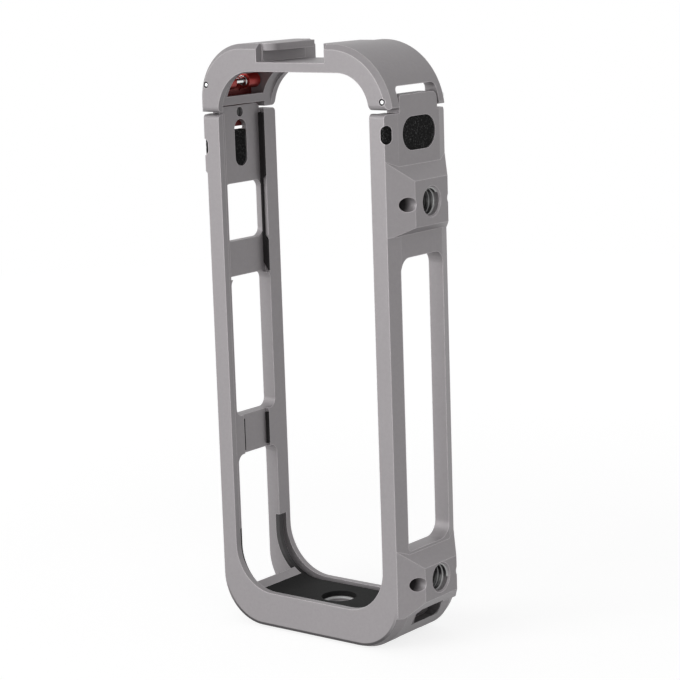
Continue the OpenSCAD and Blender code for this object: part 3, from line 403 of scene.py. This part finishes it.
red = Coat("red_anodised", RED, roughness=0.34, metallic=0.35)
red_frost = red.speckle(RED_BEADS, 3)
red_ground = red.between(red.speckle(RED_CLOUDS), RED_DEEP, RED_LIGHT)
# Painted highlight: a lighter red line along the edges.
red_edge_highlight = red.between(red.edges(0.2) * 0.5, red_ground, RED_EDGE_HIGHLIGHT)
# Painted shade: the lever's hollow inner side darkens towards the bottom.
hollow = red.rising(red.along("X"), HOLLOW_X, HOLLOW_X + 0.12)
hollow = hollow * red.falling(red.along("Z"), HOLLOW_LOW, HOLLOW_HIGH)
red.feed("Base Color", red.between(hollow * HOLLOW_SHADE_SHARE, red_edge_highlight, RED_SHADE))
red.feed("Roughness", 0.28 + red_frost * 0.14)
red.relief(red_frost, 0.01, 0.5, soft_edge=0.12)
dress(nodes["latch_lever"], red)
print("red on latch_lever")

# %% [markdown]
# Pins, spring and bolt are steel with fine turning marks, which one noise gives to tone, roughness
# and relief. The spring is bright drawn wire. The bolt is made nearly black: in the photograph it is
# nearly black in its hole.

# %% Steel
TURNING_MARKS = 3200


def steel(name, tone, rough):
    coat = Coat(name, (tone, tone, tone * 0.99), roughness=rough, metallic=1.0)
    marks = coat.speckle(TURNING_MARKS, 4)
    coat.feed("Roughness", rough - 0.05 + marks * 0.12)
    coat.feed("Base Color", coat.between(marks, (tone * 0.92,) * 3, (min(1, tone * 1.06),) * 3))
    coat.relief(marks, 0.006, 0.4)
    return coat


dress(nodes["latch_bolt"], steel("bolt_steel", 0.07, 0.4))
spring_steel = steel("spring_wire", 0.62, 0.25)
dress(nodes["latch_spring"], spring_steel)
print("steel on latch_bolt and latch_spring")

# %% [markdown]
# The pins are ground rods with turned ends: a small bright disc stands up in the middle of each
# end, and the groove round it lies in shade. The rod is the imported solid, and its end faces are
# painted with the groove's shade, because nothing else of the rod lies so far out. The discs are
# small turned pieces.

# %% Pins
PIN_END = 11.05
PIN_AXES = {"hinge_pin": (25.14, 125.05), "latch_pin": (-24.94, 128.0)}
GROOVE_SHADE_TONE = (0.02, 0.02, 0.02)
DISC_R, DISC_RIM, DISC_H, DISC_SIDES = 0.46, 0.07, 0.14, 32

pin_steel = steel("ground_steel", 0.8, 0.2)
# Painted shade: the rod's end faces take the groove's dark tone.
shaded_end = pin_steel.rising(abs(pin_steel.along("Y")), PIN_END - 0.04, PIN_END - 0.01)
pin_steel.feed("Base Color", pin_steel.between(shaded_end, pin_steel.fed("Base Color"), GROOVE_SHADE_TONE))
disc_steel = steel("turned_disc", 0.85, 0.3)

for pin, (x, z) in PIN_AXES.items():
    dress(nodes[pin], pin_steel)
    turned = bmesh.new()
    for side in (-1, 1):
        place = (Matrix.Translation(Vector((x, side * (PIN_END + DISC_H / 2), z)) * MM)
                 @ Matrix.Rotation(math.radians(-90 * side), 4, "X"))
        bmesh.ops.create_cone(turned, cap_ends=True, segments=DISC_SIDES, radius1=DISC_R * MM,
                              radius2=(DISC_R - DISC_RIM) * MM, depth=DISC_H * MM, matrix=place)
    bmesh.ops.recalc_face_normals(turned, faces=turned.faces)
    discs = bpy.data.objects.new(pin + "_end_discs", bpy.data.meshes.new(pin + "_end_discs"))
    turned.to_mesh(discs.data)
    turned.free()
    bpy.context.scene.collection.objects.link(discs)
    dress(discs, disc_steel)
    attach(discs, "lid")
    print(discs.name, len(discs.data.polygons), "faces")

# %% [markdown]
# Threads and spring wire are made by Geometry Nodes. `new_tree` gives an empty tree with named
# sizes, `finish_tree` ends one, and `plain_mesh` runs one and keeps the result as a plain mesh,
# so that no modifier is left on any piece.

# %% Geometry Nodes helper
def new_tree(name, sizes, takes_shape=False):
    """An empty Geometry Nodes tree with named sizes, and a helper that adds a node to it."""
    tree = bpy.data.node_groups.new(name, "GeometryNodeTree")
    face = tree.interface
    face.new_socket("Geometry", in_out="OUTPUT", socket_type="NodeSocketGeometry")
    if takes_shape:
        face.new_socket("Geometry", in_out="INPUT", socket_type="NodeSocketGeometry")
    for label, start in sizes.items():
        size = face.new_socket(label, in_out="INPUT", socket_type="NodeSocketFloat")
        size.default_value = start

    def node(kind, links=(), **settings):
        added = tree.nodes.new(kind)
        for key, value in settings.items():
            setattr(added, key, value)
        for key, source in links:
            if hasattr(source, "is_linked"):
                tree.links.new(source, added.inputs[key])
            else:
                added.inputs[key].default_value = source
        return added
    return tree, node


def finish_tree(tree, node, shape, material):
    whole = node("GeometryNodeRealizeInstances", [("Geometry", shape)])
    painted = node("GeometryNodeSetMaterial",
                   [("Geometry", whole.outputs[0]), ("Material", material)])
    tree.links.new(painted.outputs[0], tree.nodes.new("NodeGroupOutput").inputs[0])
    return tree


def plain_mesh(name, tree, sizes, place, start=None):
    """Runs a tree, on an empty mesh or a given one, and keeps its result as a plain mesh."""
    holder = bpy.data.objects.new(name, start or bpy.data.meshes.new(name))
    bpy.context.scene.collection.objects.link(holder)
    modifier = holder.modifiers.new("shape", "NODES")
    modifier.node_group = tree
    keys = {item.name: item.identifier for item in tree.interface.items_tree
            if item.in_out == "INPUT"}
    for label, value in sizes.items():
        modifier[keys[label]] = value
    holder.update_tag()
    bpy.context.view_layer.update()
    shaped = holder.evaluated_get(bpy.context.evaluated_depsgraph_get())
    mesh = bpy.data.meshes.new_from_object(shaped)
    holder.modifiers.remove(modifier)
    mesh.transform(place)
    holder.data = mesh
    return holder

# %% [markdown]
# Quarter inch camera threads have twenty turns to the inch. A thread is one ridge that runs round
# and round, so it is made as a spiral, swept with a three-sided profile. The same tree makes all
# three threads, with its own length for each.

# %% The tree of a thread
PITCH, THREAD_R, RIDGE = 1.27, 3.175, 0.64
STEPS_A_TURN, PROFILE_SIDES = 40, 3


def thread_tree(material):
    tree, node = new_tree("screw_thread", {"Turns": 4.0, "Wall radius": THREAD_R * MM,
                                           "Pitch": PITCH * MM, "Ridge": RIDGE * MM})
    given = tree.nodes.new("NodeGroupInput").outputs
    length = node("ShaderNodeMath", [(0, given["Turns"]), (1, given["Pitch"])],
                  operation="MULTIPLY")
    spiral = node("GeometryNodeCurveSpiral", [
        ("Resolution", STEPS_A_TURN), ("Rotations", given["Turns"]),
        ("Start Radius", given["Wall radius"]), ("End Radius", given["Wall radius"]),
        ("Height", length.outputs[0])])
    level = node("GeometryNodeSetCurveNormal", [("Curve", spiral.outputs[0])], mode="Z_UP")
    profile = node("GeometryNodeCurvePrimitiveCircle",
                   [("Resolution", PROFILE_SIDES), ("Radius", given["Ridge"])], mode="RADIUS")
    inwards = node("GeometryNodeTransform", [("Geometry", profile.outputs[0]),
                                             ("Rotation", (0, 0, math.radians(180)))])
    sweep = node("GeometryNodeCurveToMesh", [("Curve", level.outputs[0]),
                                             ("Profile Curve", inwards.outputs[0]),
                                             ("Fill Caps", True)])
    return finish_tree(tree, node, sweep.outputs[0], material)

# %% [markdown]
# The turns shine like bare metal. In the side holes they sink into the dark within a few turns, so
# painted shade makes their tone fall with depth. The base thread is short and lit from above, and
# keeps its tone.
# Each thread starts at the foot of its hole and runs for the given length.

# %% Screw threads
SIDE_X = 10
THREAD_DARK_X, THREAD_LIT_X = 25.5, 30.5
THREAD_SHADE_TONE = (0.012, 0.012, 0.012)
SIDEWAYS = Matrix.Rotation(math.radians(90), 4, "Y")

thread_steel = steel("tapped_aluminium", 0.42, 0.3)
depth_x = thread_steel.along("X")
# Painted shade: the turns darken with depth inside the side holes.
unlit = thread_steel.falling(depth_x, THREAD_DARK_X, THREAD_LIT_X)
unlit = unlit * thread_steel.rising(depth_x, SIDE_X, SIDE_X + 1)
thread_steel.feed("Base Color", thread_steel.between(
    unlit, thread_steel.fed("Base Color"), THREAD_SHADE_TONE))

threads = thread_tree(thread_steel.material)
HOLES = {
    "base_thread_turns": ((0, 0, 0.95), Matrix(), 4.3),
    "upper_side_thread_turns": ((23.1, 0, 102.5), SIDEWAYS, 5.9),
    "lower_side_thread_turns": ((24.3, 0, 16.3), SIDEWAYS, 4.8),
}
for name, (foot, heading, length) in HOLES.items():
    place = Matrix.Translation(Vector(foot) * MM) @ heading
    turns = plain_mesh(name, threads, {"Turns": length / PITCH}, place)
    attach(turns, "frame")
    print(name, len(turns.data.polygons), "faces")

# %% [markdown]
# The lever's spring is wound in two short coils with a bridge between them, so the bright pin shows
# in the middle. The route of the wire is a formula, kept as a line of points, and Geometry Nodes
# sweep a round section along it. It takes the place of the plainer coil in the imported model, round
# the same pin. Its two ends and the bridge lie behind the pin, where the lever hides them.

# %% Latch spring
COIL_R, WIRE_R, WIRE_SIDES = 1.12, 0.2, 10
COIL_END, COIL_STEP = 2.05, 0.42
STEPS = 36


def wire_tree(material):
    tree, node = new_tree("wire", {"Wire radius": WIRE_R * MM}, takes_shape=True)
    given = tree.nodes.new("NodeGroupInput").outputs
    line = node("GeometryNodeMeshToCurve", [("Mesh", given["Geometry"])])
    ring = node("GeometryNodeCurvePrimitiveCircle",
                [("Resolution", WIRE_SIDES), ("Radius", given["Wire radius"])], mode="RADIUS")
    swept = node("GeometryNodeCurveToMesh", [("Curve", line.outputs[0]),
                                             ("Profile Curve", ring.outputs[0]),
                                             ("Fill Caps", True)])
    return finish_tree(tree, node, swept.outputs[0], material)


pin_x, pin_z = PIN_AXES["latch_pin"]
coil = []
for k in range(STEPS + 1):
    angle = math.pi + math.tau * k / STEPS
    coil.append((pin_x + COIL_R * math.cos(angle), -COIL_END + COIL_STEP * k / STEPS,
                 pin_z + COIL_R * math.sin(angle)))
route = [Vector(point) * MM for point in coil + [(x, -y, z) for x, y, z in reversed(coil)]]
route_mesh = bpy.data.meshes.new("spring_route")
route_mesh.from_pydata(route, [(k, k + 1) for k in range(len(route) - 1)], [])
spring = plain_mesh("latch_spring_wire", wire_tree(spring_steel.material),
                    {"Wire radius": WIRE_R * MM}, Matrix(), route_mesh)
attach(spring, "latch")
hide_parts("latch_spring")
wire_length = sum((a - b).length for a, b in zip(route, route[1:])) / MM
print(spring.name, len(spring.data.polygons), "faces, wire", round(wire_length, 1), "mm")

# %% [markdown]
# The wind foam is open celled and black. The walls of some cells catch the light, so a few lighter
# specks are painted over the black as glints, and a cell pattern gives the rest its relief.

# %% Foam finish
CELL_SCALE = 2400.0
SPECK_SCALE, SPECK_LOW, SPECK_HIGH = 3100, 0.55, 0.72
FOAM_BLACK, FOAM_DARK, FOAM_GLINT = (0.012,) * 3, (0.004,) * 3, (0.085,) * 3

foam = Coat("wind_foam", FOAM_BLACK, roughness=0.95, Specular_IOR_Level=0.2)
cells = foam.add("ShaderNodeTexVoronoi", {"feature": "F1"},
                 {"Vector": foam.place, "Scale": CELL_SCALE}, "Distance")
glints = foam.rising(foam.speckle(SPECK_SCALE, 1), SPECK_LOW, SPECK_HIGH, unit=1)
foam.feed("Base Color", foam.between(glints, FOAM_DARK, FOAM_GLINT))
foam.feed("Roughness", 0.8 + cells * 0.2)
foam.relief(cells, 0.08, 0.9)
print("foam specks where the noise is above", SPECK_LOW)

# %% [markdown]
# A smooth face would still look like a painted hole, so the two pads and the two front plugs are
# remade as a fine skin of small squares, and its points are pushed inwards by a noise function.
# The squares round the corners a little, and so the skins keep the place of the solids they stand
# for to within a tenth of a millimetre.

# %% Foam pads
PIT_DEPTH, PIT_SPREAD = 0.07, 0.09
WIDE_PITS, FINE_PITS = 2600, 6100
SQUARES = (("right_foam", 0.16), ("left_foam", 0.16),
           ("left_front_plug", 0.1), ("right_front_plug", 0.1))


def merge(mesh):
    """Joins the corners of neighbouring faces, so that the skin is closed."""
    shape = bmesh.new()
    shape.from_mesh(mesh)
    bmesh.ops.remove_doubles(shape, verts=shape.verts, dist=0.001 * MM)
    shape.to_mesh(mesh)
    shape.free()


def foam_pad(node, square):
    """A pitted copy of a foam solid, with squares of the given size."""
    pad = nodes[node].copy()
    pad.data = nodes[node].data.copy()
    pad.name = pad.data.name = node + "_cells"
    bpy.context.scene.collection.objects.link(pad)
    merge(pad.data)
    remesh = pad.modifiers.new("skin", "REMESH")
    remesh.mode, remesh.voxel_size = "VOXEL", square
    bpy.context.view_layer.update()
    remade = pad.evaluated_get(bpy.context.evaluated_depsgraph_get())
    skin = bpy.data.meshes.new_from_object(remade)
    pad.modifiers.clear()
    pad.data = skin
    for vertex in skin.vertices:
        wide, fine = noise.noise(vertex.co * WIDE_PITS), noise.noise(vertex.co * FINE_PITS)
        pit = wide * 0.6 + fine * 0.4
        vertex.co -= vertex.normal * (PIT_DEPTH + PIT_SPREAD * pit) * MM
    for face in skin.polygons:
        face.use_smooth = True
    dress(pad, foam)
    return pad


for node, square in SQUARES:
    pad = foam_pad(node, square * MM)
    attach(pad, "frame")
    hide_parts(node)
    print(pad.name, len(pad.data.polygons), "faces")

# %% [markdown]
# The studio has a white world, which the camera and reflections see at full strength and the rest
# of the light at a lower one. One node asks which kind of ray it is, and the floor uses it too.

# %% White world
FILL = 0.34

scene = bpy.context.scene
scene.view_settings.view_transform = "Standard"

world = bpy.data.worlds.new("studio")
scene.world = world
world.use_nodes = True
sky = world.node_tree
background = sky.nodes["Background"]


def shown(tree):
    """1 where the camera looks, straight or by way of metal or glass, and 0 for the light."""
    rays = tree.nodes.new("ShaderNodeLightPath").outputs
    straight, mirrored, through = (Wire(tree, rays[kind]) for kind in (
        "Is Camera Ray", "Is Glossy Ray", "Is Transmission Ray"))
    return straight.most(mirrored).most(through)


sky.links.new((shown(sky) * (1 - FILL) + FILL).socket, background.inputs["Strength"])
background.inputs["Color"].default_value = (1, 1, 1, 1)
print("world at", FILL, "of white for the light")

# %% [markdown]
# Three large soft lamps light the cage. The key stands in front, a little to the left, so the
# front face is the brightest. The side lamp stands in front and to the right and is weaker, so the
# right side is a tone darker, as in a catalogue picture. The top lamp only lifts the upper faces.

# %% Lamps
CENTRE = (0, 0, 0.07)


def lamp(name, at, size, watts):
    light = bpy.data.lights.new(name, "AREA")
    light.shape = "RECTANGLE"
    light.size, light.size_y = size
    light.energy = watts
    holder = bpy.data.objects.new(name, light)
    holder.location = at
    holder.rotation_euler = (Vector(CENTRE) - Vector(at)).to_track_quat("-Z", "Y").to_euler()
    scene.collection.objects.link(holder)
    print("lamp", name, watts, "W")


lamp("key", (-0.25, -0.85, 0.34), (0.7, 0.7), 4.7)
lamp("side", (0.75, -0.72, 0.3), (0.7, 1.0), 2.2)
lamp("top", (0.1, 0.2, 1.2), (0.9, 0.9), 0.3)

# %% [markdown]
# The floor is white paper that keeps the cage's shadow. The paper glows a little for the camera and
# more so further out, where it has to melt into the white world without a horizon. For the light
# it is greyer, so that it doesn't brighten the cage from below.

# %% Floor
FLOOR_HALF, FLOOR_Z = 4, -0.00002
PAPER, PAPER_FOR_LIGHT = (0.86, 0.86, 0.86), (0.4, 0.4, 0.4)
FADE_NEAR, FADE_FAR = 0.12, 0.6
GLOW_NEAR, GLOW_FAR = 1.3, 1.0
GLOW_SHARE = 0.62

floor_mesh = bpy.data.meshes.new("floor")
floor_mesh.from_pydata([(-FLOOR_HALF, -FLOOR_HALF, FLOOR_Z), (FLOOR_HALF, -FLOOR_HALF, FLOOR_Z),
                        (FLOOR_HALF, FLOOR_HALF, FLOOR_Z), (-FLOOR_HALF, FLOOR_HALF, FLOOR_Z)],
                       [], [(0, 1, 2, 3)])
floor = bpy.data.objects.new("floor", floor_mesh)
scene.collection.objects.link(floor)

pale = Coat("pale_floor", PAPER, roughness=0.9)
paper = pale.tree
eye = shown(paper)
pale.feed("Base Color", pale.between(eye, PAPER_FOR_LIGHT, PAPER))
distance = pale.add("ShaderNodeVectorMath", {"operation": "LENGTH"}, {0: pale.place}, "Value")
away = pale.rising(distance, FADE_NEAR, FADE_FAR, unit=1)
far_glow = (GLOW_FAR / GLOW_NEAR,) * 3
glow = pale.add("ShaderNodeEmission", {}, {"Color": pale.between(away, (1, 1, 1), far_glow),
                                           "Strength": GLOW_NEAR})
blend = pale.add("ShaderNodeMixShader", {}, {0: eye * (GLOW_SHARE + away * (1 - GLOW_SHARE))})
mixer = blend.socket.node
paper.links.new(pale.shader.outputs[0], mixer.inputs[1])
paper.links.new(glow.socket, mixer.inputs[2])
paper.links.new(blend.socket, paper.nodes["Material Output"].inputs["Surface"])
floor_mesh.materials.append(pale.material)
print("floor", 2 * FLOOR_HALF, "m wide")
